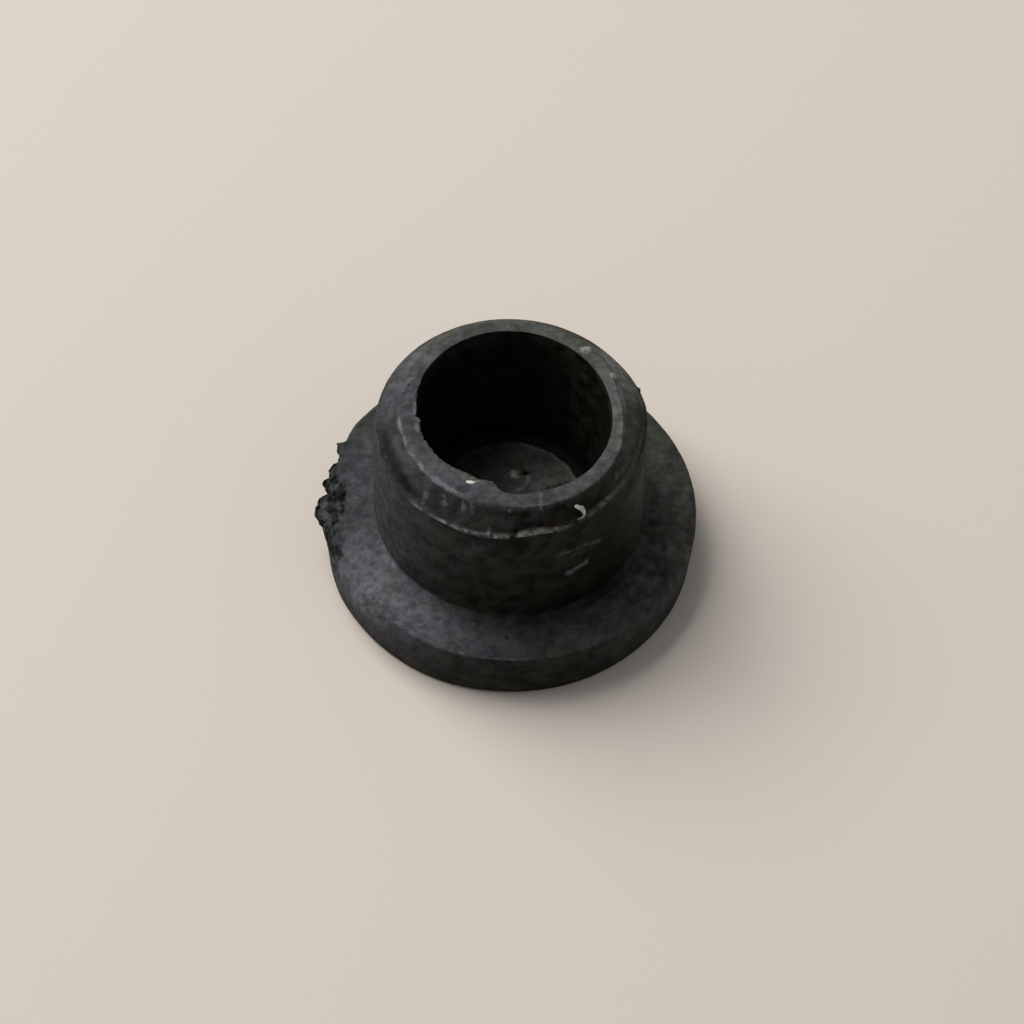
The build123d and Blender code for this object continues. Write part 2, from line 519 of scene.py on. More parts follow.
def pushFlash(point, normal):
    spoke = fromRidge(point)
    turn = turnOf(spoke)
    if abs(point.z - ridgeHeight) > 0.4 or spoke.length < 6.85:
        return point
    ragged = 1 + 0.45 * ripple(point, 0.25, 15) + 0.3 * ripple(point, 0.1, 16)
    thick = along(flash["thickness"], turn)
    middle = along(flash["height"], turn)
    body = hump(point.z, middle, thick + 0.05)
    out = spoke.normalized() * along(flash["reach"], turn) * body * ragged
    lift = (middle - ridgeHeight) * 0.7 * hump(point.z, ridgeHeight, 0.2)
    return Vector((point.x + out.x, point.y + out.y, point.z + lift))


def raiseGate(point, normal):
    if point.z > plug["floorHeight"] + 0.3 or normal.z < 0.5 or point.z < plug["floorHeight"] - 0.2:
        return point
    away = (point.xy - Vector(gate["place"])).length
    ring = hump(away, gate["radius"] + 0.05 * ripple(point, 0.6, 18), gate["wall"])
    pip = hump((point.xy - Vector(gate["pip"])).length, 0, 0.2)
    pit = hump((point.xy - Vector(gate["pit"])).length, 0, 0.26)
    sink = 0.06 * (1 - ease(0, gate["radius"], away)) + 0.16 * pit
    lift = gate["height"] * ring * (0.7 + 0.6 * ripple(point, 0.5, 19)) + 0.12 * pip - sink
    return point + Vector((0, 0, lift))


def pressDents(point, normal):
    for spot, width, depth in dents:
        away = (point - Vector(spot)).length
        if away < width:
            point = point - normal * depth * hump(away, 0, width)
    return point


def keepInBox(point, normal):
    slack = Vector((0.005, 0.005, 0))
    limits = zip(lowCorner / mm, highCorner / mm, slack, point)
    return Vector([min(high - spare, max(low + spare, value)) for low, high, spare, value in limits])


def sculpt(piece, *moves):
    for move in moves:
        normals = [vertex.normal.copy() for vertex in piece.data.vertices]
        for vertex, normal in zip(piece.data.vertices, normals):
            vertex.co = move(vertex.co / mm, normal) * mm
        piece.data.update()
        print("stage:", move.__name__)


sculpt(rubberPlug, outOfRound, skinLumps, spreadFilm, settleRims, pushFlash, raiseGate, tearEdge, pressDents)
sculpt(rubberPlug, keepInBox)

# where dust, wear and dirt lie, kept on the mesh as masks

# dust on the flange's top by turn, with painted light: more on the side that faces the lamp
dustAndLightByTurn = [
    (0, 0.34), (12, 0.34), (30, 0.36), (60, 0.42), (90, 0.42), (130, 0.4), (155, 0.4), (185, 0.42),
    (198, 0.54), (208, 0.7), (222, 0.73), (238, 0.72), (250, 0.54), (260, 0.3), (275, 0.14), (300, 0.3),
    (330, 0.34), (360, 0.35),
]
sideDustAndLightByTurn = [  # dust on the flange's side, and painted light on its side facing the lamp
    (0, 0.3), (30, 0.25), (60, 0.3), (150, 0.3), (195, 0.45), (206, 0.75), (220, 0.7), (230, 0.5),
    (240, 0.28), (252, 0.1), (264, 0.04), (290, 0.03), (305, 0.12), (320, 0.26), (340, 0.34), (360, 0.3),
]
# wear and a painted highlight along the lip's outer edge, by turn
lipWearAndHighlightByTurn = [
    (0, 0.3), (45, 0.25), (90, 0.2), (120, 0.25), (165, 0.3), (178, 0.65), (195, 0.8), (210, 1.0), (226, 1.0),
    (238, 1.0), (243, 0.7), (250, 0.5), (270, 0.42), (286, 0.5), (300, 0.35), (330, 0.3), (360, 0.3),
]
# pale flash, with a painted highlight along it, by turn
flashPaleAndHighlightByTurn = [
    (0, 0.1), (40, 0.05), (150, 0.03), (165, 0.12), (174, 0.34), (187, 0.32), (198, 0.14), (215, 0.18),
    (224, 0.32), (229, 0.48), (233, 0.34), (237, 0.5), (243, 0.5), (247, 0.38), (252, 0.4), (262.6, 0.42),
    (263.6, 0.28), (264.8, 0.46), (270.4, 0.46), (271.8, 0.22), (273, 0.22), (275, 0.52), (289, 0.52),
    (294, 0.36), (300, 0.28), (306, 0.28), (312, 0.32), (320, 0.33), (328, 0.32), (334, 0.28), (345, 0.22),
    (360, 0.12),
]


def wearAndHighlightOf(point, normal):
    # rubbed pale, with painted highlights along these edges: the lip, the flash line, the flange's rim and
    # the film's edge
    spoke = fromRidge(point)
    turn = turnOf(spoke)
    radius = spoke.length
    inner = fromMouth(point)
    lipGap = math.hypot(radius - plug["lipRadius"] - rimOf("lip", turn) + 0.05, point.z - lipHeight + 0.08)
    ragged = 1 + 0.6 * ripple(point, 0.5, 23) + 0.35 * ripple(point, 0.2, 24)
    wide = 0.2 + 0.14 * hump(turn, 228, 26) + 0.1 * hump(turn, 190, 20)
    wear = hump(lipGap, 0, wide * max(0.6, ragged)) * along(lipWearAndHighlightByTurn, turn) * min(1, 0.5 + 0.4 * ragged)
    if radius > 6.4 and point.z > 10:
        thick = along(flash["thickness"], turn)
        back = plug["shoulderRadius"] + rimOf("ridge", turn) - thick
        low = along(flash["height"], turn) - 0.6 * thick - 0.05
        line = ease(low - 0.06, low + 0.05, point.z) * ease(back - 0.14, back + 0.04, radius)
        wear = max(wear, line * along(flashPaleAndHighlightByTurn, turn) * min(1.2, 0.45 + 0.6 * ragged))
    # painted highlight along the flange's top edge, stronger in front
    pastRim = point.xy.length - flangeRadius + 0.1 + rimOf("bevel", turn)
    rimGap = math.hypot(pastRim, point.z - flangeTop + 0.04)
    front = 0.25 + 0.3 * hump(turn, 265, 50)
    wear = max(wear, front * hump(rimGap, 0, 0.26) * (1 - hump(turn, 20, 60)))
    # crumbs of dirt along the spigot's foot
    footGap = math.hypot(point.xy.length - spigotRadius - 0.1, point.z - flangeTop - 0.15)
    crumbs = max(0, 0.7 + 0.8 * ripple(point, 0.3, 29)) * hump(turn, 212, 22)
    wear = max(wear, 0.6 * crumbs * hump(footGap, 0, 0.42))
    # painted highlight on the film's edge, on the left
    filmEdge = inner.length - plug["mouthRadius"] + along(film["reach"], turnOf(inner))
    filmWear = 0.55 * hump(filmEdge, 0.02, 0.16) * hump(turnOf(inner), 184, 14)
    return max(wear, filmWear * ease(11.6, 11.7, point.z))


def floorEdge(point):
    # the ragged line where the painted shade round the cavity's floor begins, and where its painted rim
    # highlight lies
    return 0.09 * ripple(point, 0.45, 31) + 0.07 * ripple(point, 0.18, 32)


def coneDustAndLight(turn):
    # dust on the nose, between the ridge and the lip, and painted light on its side facing the lamp
    around = 0.5 * hump(turn, 150, 62) + 0.27 * hump(turn, 206, 36) + 0.24 * humpRound(turn, 350, 45)
    return around + 0.75 * hump(turn, 36, 34) + 0.42 * hump(turn, 90, 50) + 0.07 * hump(turn, 250, 34)


def dustAndLightOf(point, normal):
    # dust, and light painted as pale dust on the sides facing the lamp: on the flange, the cavity's floor,
    # the lip, the nose and the spigot, in that order
    radius = point.xy.length
    turn = turnOf(point)
    up = ease(0.35, 0.85, normal.z)
    if radius > spigotRadius - 0.1 and point.z < flangeTop + 0.6:
        right = humpRound(turn, 340, 65)
        speckle = 1 + 1.1 * right * ripple(point, 0.42, 30)
        band = 0.78 + 0.22 * hump(radius, 8.6, 1.3)
        corner = ease(flangeTop + 0.5, flangeTop + 0.36, point.z)
        corner *= ease(spigotRadius + 0.7, spigotRadius + 0.3, radius)
        # less pale dust and painted light in the corner on the front right, where the spigot shades the
        # flange
        top = max(up, corner) * band * along(dustAndLightByTurn, turn) * (1 - 0.6 * hump(turn, 285, 60) * corner)
        side = along(sideDustAndLightByTurn, turn) * (0.35 + 0.65 * ease(0.2, flangeTop, point.z))
        side *= ease(9, 9.4, radius)
        return (top + (1 - up) * side) * speckle
    inner = (point.xy - Vector(plug["floorCentre"])).length
    if inner < plug["floorRadius"] and point.z < 5:
        # painted light: the cavity's floor is paler on its right, where the lamp reaches it, with a painted
        # highlight on its back-right rim and on the gate ring's right side
        side = 0.5 + 0.5 * math.cos(math.radians(turn + 25))
        flat = ease(4.05, 3.85, inner)
        rim = 0.5 * hump(inner + floorEdge(point), 3.8, 0.14) * hump(turn, 50, 60)
        gap = (point.xy - Vector(gate["place"])).length
        mark = 0.6 * hump(gap, gate["radius"], 0.2) * hump(turn, 64, 14)
        mark += 0.08 * hump(gap, gate["radius"], 0.25)
        return flat * (0.09 + 0.62 * side) + rim + mark
    if point.z > lipHeight - 0.2:
        right = 0.22 * humpRound(turn, 0, 60)
        flat = up * (0.41 + 0.11 * hump(turn, 150, 30) + right - 0.1 * hump(turn, 275, 45))
        return flat + (1 - up) * coneDustAndLight(turn) * ease(5.6, 5.8, radius)
    if radius > 5.8 and point.z > flangeTop + 6:
        cone = ease(10.75, 10.95, point.z)
        band = 0.22 * hump(point.z, along(flash["height"], turn) + 0.05, 0.42) * hump(turn, 320, 24)
        return 0.28 * hump(turn, 200, 75) * (1 - cone) + max(band, cone * coneDustAndLight(turn))
    if radius > 6 and point.z > flangeTop + 0.6:
        # dust and painted light on the spigot: paler on its left, which faces the lamp, and high up on its
        # right, over the ridge's shaded side
        side = 0.28 * hump(turn, 200, 62) + 0.22 * humpRound(turn, 350, 32)
        return side + 0.2 * ease(7, 10, point.z) * (hump(turn, 340, 22) + hump(turn, 6, 26))
    return 0


def paintedShadeOf(point, normal):
    # painted shade, 1 where it is darkest: round the cavity's floor, on the cavity's wall, in the groove
    # behind the ridge, under the flash, and at the foot where the spigot meets the flange
    inner = fromMouth(point)
    middle = (point.xy - Vector(plug["floorCentre"])).length
    # painted shade round the edge of the cavity's floor
    if point.z < 4 and middle < 4.6:
        return ease(3.84, 3.98, middle + floorEdge(point))
    # painted shade on the cavity's wall, lighter on the back right, where the lamp reaches it
    if inner.length < plug["mouthRadius"] + 0.25 and point.z > plug["floorHeight"]:
        wall = ease(plug["mouthRadius"] + 0.06, plug["mouthRadius"] - 0.02, inner.length)
        turn = turnOf(inner)
        litWall = 0.95 * hump(turn, 42, 40) + 0.4 * hump(turn, 95, 45)
        side = 1 - min(1, litWall) * ease(4.3, 5.6, point.z)
        return wall * side * ease(lipHeight - 0.15, lipHeight - 1.2, point.z)
    spoke = fromRidge(point)
    turn = turnOf(spoke)
    ragged = 0.12 * ripple(point, 0.5, 21)
    # painted shade in the groove behind the ridge, and a painted shadow under the flash
    if point.z > 10.2 and spoke.length > 6.2:
        wide = 0.3 + 0.16 * hump(turn, 202, 26)
        groove = hump(spoke.length + ragged, 6.98 - wide, wide) * ease(10.3, 10.6, point.z)
        left = ease(176, 192, turn) * (1 - ease(218, 234, turn))
        right = 0.65 * ease(290, 298, turn) * (1 - ease(318, 326, turn))
        belowFlash = along(flash["height"], turn) - along(flash["thickness"], turn) - 0.14
        under = 0.55 * hump(turn, 254, 32) * hump(point.z, belowFlash, 0.14)
        return max(groove * max(0.85 * left, right), under)
    # painted shade: the spigot is darkest low down on its right, and up its right side, away from the lamp
    low = ease(flangeTop + 0.2, flangeTop + 0.5, point.z)
    low *= 1 - ease(flangeTop + 1, flangeTop + 3.4, point.z)
    if 6.8 < spoke.length < 7.6:
        return max(0.98 * low * hump(turn, 298, 34), 0.9 * hump(turn, 316, 28) * ease(11, 8, point.z))
    return 0


def scarOf(point, normal):
    # 1 in the torn hollow, and on the rough rubber round it
    turn = turnOf(point)
    radius = point.xy.length
    if not within(turn, torn["span"]) or point.z < flangeTop - 1.5 or radius < 8.4:
        return 0
    depthIn = flangeRadius - radius
    inner = along(torn["innerRim"], turn) + 0.15 * ripple(point, 0.3, 22)
    low = ease(flangeTop - 0.02, flangeTop - 0.2, point.z)
    side = ease(flangeTop - 1.5, flangeTop - 1.1, point.z)
    patchy = 0.52 + 0.3 * low + 0.3 * ripple(point, 0.5, 28)
    rim = 0.5 * ease(0.22, 0.04, depthIn + along(torn["reach"], turn)) * ease(155, 162, turn)
    return min(1, max(0, side * ease(inner + 0.35, inner - 0.3, depthIn) * patchy + side * rim))


def paint(piece, **masks):
    points = [vertex.co / mm for vertex in piece.data.vertices]
    normals = [vertex.normal.copy() for vertex in piece.data.vertices]
    for name, mask in masks.items():
        layer = piece.data.attributes.new(name, "FLOAT", "POINT")
        values = [mask(point, normal) for point, normal in zip(points, normals)]
        layer.data.foreach_set("value", values)
        print("stage: mask", name)


paint(rubberPlug, wear=wearAndHighlightOf, bloom=dustAndLightOf, grime=paintedShadeOf, scar=scarOf)
pick(rubberPlug)
bpy.ops.object.shade_smooth_by_angle(angle=math.radians(40))

# finishes


def newNode(tree, kind, x, y, **settings):
    node = tree.nodes.new(kind)
    node.location = (x, y)
    for name, value in settings.items():
        setattr(node, name, value)
    return node


def newGroup(name, vectors, numbers, outputs):
    # its inputs are vectors, then numbers with their defaults, and all its outputs are numbers
    tree = bpy.data.node_groups.new(name, "ShaderNodeTree")
    for label in vectors:
        tree.interface.new_socket(name=label, in_out="INPUT", socket_type="NodeSocketVector")
    for label, value in numbers.items():
        socket = tree.interface.new_socket(name=label, in_out="INPUT", socket_type="NodeSocketFloat")
        socket.default_value = value
    for label in outputs:
        tree.interface.new_socket(name=label, in_out="OUTPUT", socket_type="NodeSocketFloat")
    return tree, newNode(tree, "NodeGroupInput", -900, 0), newNode(tree, "NodeGroupOutput", 700, 0)


def feed(tree, node, values):
    # each input gets a link from a socket, or a plain value
    for name, value in values.items():
        if isinstance(value, bpy.types.NodeSocket):
            tree.links.new(value, node.inputs[name])
        elif value is not None:
            node.inputs[name].default_value = value
    return node


def calc(tree, operation, x, y, first, second=None, third=None):
    node = newNode(tree, "ShaderNodeMath", x, y, operation=operation)
    return feed(tree, node, {0: first, 1: second, 2: third}).outputs[0]


def remap(tree, value, x, y, low, high, toLow=0.0, toHigh=1.0):
    node = newNode(tree, "ShaderNodeMapRange", x, y, interpolation_type="SMOOTHSTEP")
    limits = {"From Min": low, "From Max": high, "To Min": toLow, "To Max": toHigh}
    return feed(tree, node, {"Value": value, **limits}).outputs["Result"]


def cloud(tree, vector, x, y, scale, detail=3.0, rough=0.55, seed=0.0):
    node = newNode(tree, "ShaderNodeTexNoise", x, y, noise_dimensions="4D")
    values = {"Vector": vector, "Scale": scale, "Detail": detail, "Roughness": rough, "W": seed}
    return feed(tree, node, values).outputs["Fac"]


def stretch(tree, vector, x, y, turn, scale):
    node = newNode(tree, "ShaderNodeMapping", x, y)
    return feed(tree, node, {"Vector": vector, "Rotation": turn, "Scale": scale}).outputs["Vector"]


def makeDustAndLightVeil():
    # dust caught in the rubber's grain, and light painted as dust: a mottled mask from a smooth one
    tree, start, end = newGroup("dustVeil", ["Vector"], {"Amount": 0.0}, ["Mask", "Tint"])
    spot, amount = start.outputs["Vector"], start.outputs["Amount"]
    brushed = stretch(tree, spot, -800, -200, (0, 0, math.radians(35)), (1, 3, 1.5))
    patches = remap(tree, cloud(tree, spot, -600, 300, 0.55, 3.0, 0.6, 1.0), -400, 300, 0.35, 0.65, 0.8, 1.14)
    mottle = remap(tree, cloud(tree, spot, -600, 100, 2.2, 5.0, 0.62, 2.0), -400, 100, 0.32, 0.68, 0.57, 1.42)
    drags = cloud(tree, brushed, -600, -200, 1.3, 4.0, 0.6, 3.0)
    drags = remap(tree, drags, -400, -200, 0.35, 0.65, 0.86, 1.12)
    mixed = calc(tree, "MULTIPLY", -100, 200, patches, mottle)
    mixed = calc(tree, "MULTIPLY", 100, 100, mixed, drags)
    mixed = calc(tree, "MULTIPLY", 300, 0, mixed, amount)
    tint = remap(tree, cloud(tree, spot, -600, -400, 0.8, 2.0, 0.5, 8.0), -400, -400, 0.3, 0.7)
    feed(tree, end, {"Mask": mixed, "Tint": tint})
    return tree


def makeWornEdgeAndHighlight():
    # rubbed edges and flash, and the highlights painted on them: solid where the amount is high, broken up
    # where it is low
    tree, start, end = newGroup("wornEdge", ["Vector"], {"Amount": 0.0}, ["Mask"])
    spot, amount = start.outputs["Vector"], start.outputs["Amount"]
    broken = cloud(tree, spot, -600, 100, 2.6, 4.0, 0.7, 4.0)
    need = calc(tree, "SUBTRACT", -350, 100, 0.9, broken)
    over = calc(tree, "SUBTRACT", -150, 100, amount, calc(tree, "MULTIPLY", -250, -50, need, 0.75))
    feed(tree, end, {"Mask": remap(tree, over, 100, 100, -0.05, 0.5)})
    return tree


def makeSkinGrain():
    # the matt skin of moulded rubber: blotches, marks dragged round it, fine grain and pits
    tree, start, end = newGroup("skinGrain", ["Vector"], {}, ["Height", "Shade", "Tint"])
    spot = start.outputs["Vector"]
    level = stretch(tree, spot, -800, -100, (0, math.radians(18), 0), (1, 1, 2))
    blotch = cloud(tree, spot, -600, 300, 1.15, 4.0, 0.58, 5.0)
    drags = cloud(tree, level, -600, 100, 1.4, 4.0, 0.6, 6.0)
    grain = cloud(tree, spot, -600, -100, 7.0, 3.0, 0.6, 9.0)
    pits = newNode(tree, "ShaderNodeTexVoronoi", -600, -300, feature="F1")
    feed(tree, pits, {"Vector": spot, "Scale": 1.6})
    pit = remap(tree, pits.outputs["Distance"], -400, -300, 0.03, 0.14)
    mixed = calc(tree, "MULTIPLY_ADD", -200, 200, drags, 0.2, blotch)
    height = calc(tree, "MULTIPLY_ADD", 0, 200, grain, 0.3, mixed)
    height = calc(tree, "MULTIPLY_ADD", 200, 200, pit, 0.15, height)
    shade = remap(tree, calc(tree, "MULTIPLY_ADD", 0, 0, grain, 0.34, mixed), 200, 0, 0.6, 0.92)
    tint = remap(tree, cloud(tree, spot, -600, -500, 1.1, 2.0, 0.5, 10.0), -400, -500, 0.38, 0.62)
    feed(tree, end, {"Height": height, "Shade": shade, "Tint": tint})
    return tree


def makeStroke():
    # one ragged smear, scratch or speck, between two places
    tree, start, end = newGroup("stroke", ["Vector", "From", "To"], {"Width": 0.1, "Strength": 1.0}, ["Mask"])

    def aim(operation, x, y, first, second, result="Vector"):
        node = newNode(tree, "ShaderNodeVectorMath", x, y, operation=operation)
        return feed(tree, node, {0: first, "Scale" if operation == "SCALE" else 1: second}).outputs[result]

    away = aim("SUBTRACT", -700, 200, start.outputs["Vector"], start.outputs["From"])
    run = aim("SUBTRACT", -700, 0, start.outputs["To"], start.outputs["From"])
    share = calc(tree, "DIVIDE", -300, 100, aim("DOT_PRODUCT", -500, 200, away, run, "Value"),
                 aim("DOT_PRODUCT", -500, 0, run, run, "Value"))
    share = calc(tree, "MINIMUM", -200, 0, calc(tree, "MAXIMUM", -250, 100, share, 0.0), 1.0)
    gap = aim("DISTANCE", 0, 100, away, aim("SCALE", -100, 0, run, share), "Value")
    ragged = cloud(tree, start.outputs["Vector"], -500, -200, 3.2, 2.0, 0.55, 7.0)
    swell = remap(tree, ragged, -300, -200, 0.3, 0.7, 0.45, 1.55)
    edge = calc(tree, "MULTIPLY", -100, -200, start.outputs["Width"], swell)
    mask = remap(tree, calc(tree, "DIVIDE", 150, 0, gap, edge), 300, 0, 1.1, 0.1)
    mask = calc(tree, "MULTIPLY", 400, 100, mask, swell)
    feed(tree, end, {"Mask": calc(tree, "MULTIPLY", 500, 0, mask, start.outputs["Strength"])})
    return tree


dustVeil, wornEdge, skinGrain, stroke = makeDustAndLightVeil(), makeWornEdgeAndHighlight(), makeSkinGrain(), makeStroke()


def place(tree, group, x, y, vector, **values):
    node = newNode(tree, "ShaderNodeGroup", x, y, node_tree=group)
    return feed(tree, node, {"Vector": vector, **values})


def blendColour(tree, x, y, factor, below, above):
    # each colour is a socket, or three numbers
    below, above = ((*part, 1) if isinstance(part, tuple) else part for part in (below, above))
    node = newNode(tree, "ShaderNodeMix", x, y, data_type="RGBA")
    return feed(tree, node, {"Factor": factor, 6: below, 7: above}).outputs[2]


rubberFinish = {
    "darkRubber": (0.0015, 0.0022, 0.0006),
    "plainRubber": (0.0192, 0.0220, 0.0110),
    "plumRubber": (0.0208, 0.0198, 0.0202),
    # painted shade, and dark marks
    "grime": (0.0036, 0.0043, 0.0020),
    "tornRubber": (0.0060, 0.0070, 0.0048),
    # pale crumbs with painted glints
    "tornPaleAndGlint": (0.058, 0.062, 0.066),
    "rust": (0.027, 0.013, 0.008),
    # painted contact shade and floor reflection at the flange's foot
    "footShadeAndReflection": (0.014, 0.006, 0.003),
    # pale dust, also used to paint light
    "dust": (0.121, 0.124, 0.143),
    "warmDustAndLight": (0.132, 0.131, 0.112),
    # rubbed pale, also used to paint highlights
    "rubbedAndHighlight": (0.155, 0.160, 0.172),
    "warmRubbedAndHighlight": (0.150, 0.152, 0.118),
    "dirt": (0.26, 0.255, 0.225),
    "matt": 0.62,
    "dusty": 0.88,
    "shine": 0.08,
    "bump": 0.95,
    "bumpDepth": 0.12,
}
marks = {  # from, to, width, strength
    "rubbedAndHighlight": [
        ((1.50, -5.20, lipHeight), (1.52, -6.00, lipHeight - 0.03), 0.15, 0.4),
        ((-4.35, -4.9, 11.1), (-4.46, -5.2, 10.78), 0.24, 0.26),
        ((-3.37, -5.26, 11.5), (-3.36, -5.56, 11.18), 0.16, 0.3),
        ((-2.48, -5.6, 11.66), (-2.42, -5.9, 11.3), 0.15, 0.26),
        ((-2.0, -5.75, 11.66), (-1.9, -6.1, 11.3), 0.14, 0.14),
        ((5.84, -2.75, 10.98), (5.48, -3.36, 11.08), 0.24, 0.3),
        ((-1.06, -6.98, 10.72), (-1.06, -6.7, 10.86), 0.13, 0.35),
        ((3.15, -6.49, 6.67), (4.0, -5.98, 6.87), 0.26, 0.42),
        ((2.5, -6.78, 8.67), (4.08, -5.92, 8.44), 0.26, 0.2),
        ((4.08, -5.92, 8.44), (4.72, -5.42, 8.2), 0.26, 0.22),
        ((3.3, -6.42, 8.1), (4.3, -5.78, 7.9), 0.18, 0.1),
        ((-6.0, -3.9, 7.0), (-5.6, -4.5, 6.3), 0.3, 0.08),
        ((-5.75, 1.25, 11.78), (-5.4, 1.95, 11.78), 0.25, 0.28),
        ((3.6, -5.95, 10.8), (4.25, -5.62, 10.72), 0.14, 0.3),
        ((-1.7, -6.95, 9.6), (-2.6, -6.65, 8.7), 0.7, 0.09),
        ((-4.96, -0.98, 11.8), (-4.9, -1.3, 11.8), 0.18, 0.4),
        ((-5.1, 0.3, 11.8), (-5.06, -0.3, 11.8), 0.18, 0.35),
        ((-0.02, -6.19, 11.64), (0.02, -6.22, 11.58), 0.13, 0.4),
        ((1.55, -5.98, 11.68), (1.57, -6.02, 11.6), 0.12, 0.4),
        # painted light over the shadow on the torn flap
        ((-10.05, 0.1, flangeTop - 0.2), (-9.75, -0.7, flangeTop - 0.2), 0.4, 0.18),
    ],
    "rust": [
        ((1.75, -6.31, 11.01), (2.63, -6.45, 10.74), 0.34, 0.42),
        ((2.0, -6.6, 10.85), (2.6, -6.5, 10.75), 0.2, 0.45),
        ((-2.95, -3.66, 11.75), (-2.07, -4.14, 11.75), 0.1, 0.5),
        ((1.6, 4.95, 11.1), (2.6, 4.5, 11.0), 0.4, 0.5),
        ((-0.9, 5.2, 11.1), (0.2, 5.25, 11.1), 0.25, 0.25),
    ],
    "grime": [
        # dark marks in the nicks pressed into the spigot, the lip and the flange, in the gate's pit and along
        # the cavity's floor
        ((-2.94, -6.66, 8.16), (-2.47, -6.84, 8.04), 0.15, 0.95),
        ((-1.36, -7.15, 8.36), (-1.3, -7.15, 8.22), 0.12, 0.7),
        ((-1.3, -7.12, 6.3), (-0.95, -7.16, 5.6), 0.2, 0.6),
        ((-5.44, 1.6, 11.82), (-5.84, 0.66, 11.78), 0.1, 0.55),
        ((-0.12, -8.32, flangeTop), (0.12, -8.38, flangeTop), 0.15, 0.85),
        ((-0.4, -7.55, flangeTop), (-0.2, -7.45, flangeTop), 0.13, 0.6),
        ((-9.05, -3.1, flangeTop), (-9.1, -3.5, flangeTop), 0.2, 0.7),
        ((0.74, 2.20, 3.3), (0.78, 2.16, 3.45), 0.27, 1.0),
        ((1.85, 1.2, 3.5), (3.3, 1.72, 3.5), 0.12, 0.7),
        # painted shade in the torn hollow
        ((-9.02, 1.37, flangeTop - 0.3), (-8.93, 0.71, flangeTop - 0.3), 0.32, 0.8),
        ((-8.93, 0.71, flangeTop - 0.3), (-8.94, -0.4, flangeTop - 0.25), 0.36, 0.85),
        ((-9.44, -0.7, flangeTop - 0.3), (-9.34, -3.3, flangeTop - 0.3), 0.24, 0.6),
        ((-8.95, -0.9, flangeTop - 0.15), (-8.93, -2.2, flangeTop - 0.05), 0.55, 0.24),
        ((-9.2, -2.85, flangeTop - 0.1), (-8.86, -3.35, flangeTop - 0.05), 0.26, 0.5),
    ],
    "dirt": [
        ((3.6, 4.26, lipHeight), (3.74, 4.36, lipHeight), 0.24, 0.85),
        ((5.24, 2.6, lipHeight - 0.05), (5.3, 2.7, lipHeight - 0.05), 0.2, 0.85),
        ((-1.77, -7.57, flangeTop), (-1.75, -7.6, flangeTop), 0.1, 0.4),
        ((-0.42, 5.62, lipHeight), (-0.4, 5.6, lipHeight), 0.09, 0.3),
        ((-6.61, -1.1, flangeTop + 0.3), (-6.7, -1.0, flangeTop + 0.3), 0.12, 0.3),
        ((-8.9, -1.4, flangeTop), (-8.85, -2.0, flangeTop), 0.2, 0.12),
        ((0.02, 2.08, 3.58), (0.26, 2.1, 3.58), 0.25, 0.8),
        ((0.78, 1.75, 3.6), (0.82, 1.6, 3.6), 0.14, 0.3),
        ((3.2, 2.28, 3.55), (3.46, 2.16, 3.6), 0.1, 0.3),
    ],
}


def newMaterial(name):
    paintwork = bpy.data.materials.new(name)
    paintwork.use_nodes = True
    tree = paintwork.node_tree
    shader = tree.nodes["Principled BSDF"]
    shader.location = (900, 0)
    coords = newNode(tree, "ShaderNodeTexCoord", -1700, 0)
    inMm = stretch(tree, coords.outputs["Object"], -1500, 0, (0, 0, 0), (1 / mm, 1 / mm, 1 / mm))
    return paintwork, tree, shader, inMm


def roughen(tree, shader, height, strength, depth):
    bump = newNode(tree, "ShaderNodeBump", 600, -300)
    feed(tree, bump, {"Height": height, "Strength": strength, "Distance": depth * mm})
    tree.links.new(bump.outputs["Normal"], shader.inputs["Normal"])


def maskNode(tree, name, x, y):
    return newNode(tree, "ShaderNodeAttribute", x, y, attribute_name=name).outputs["Fac"]


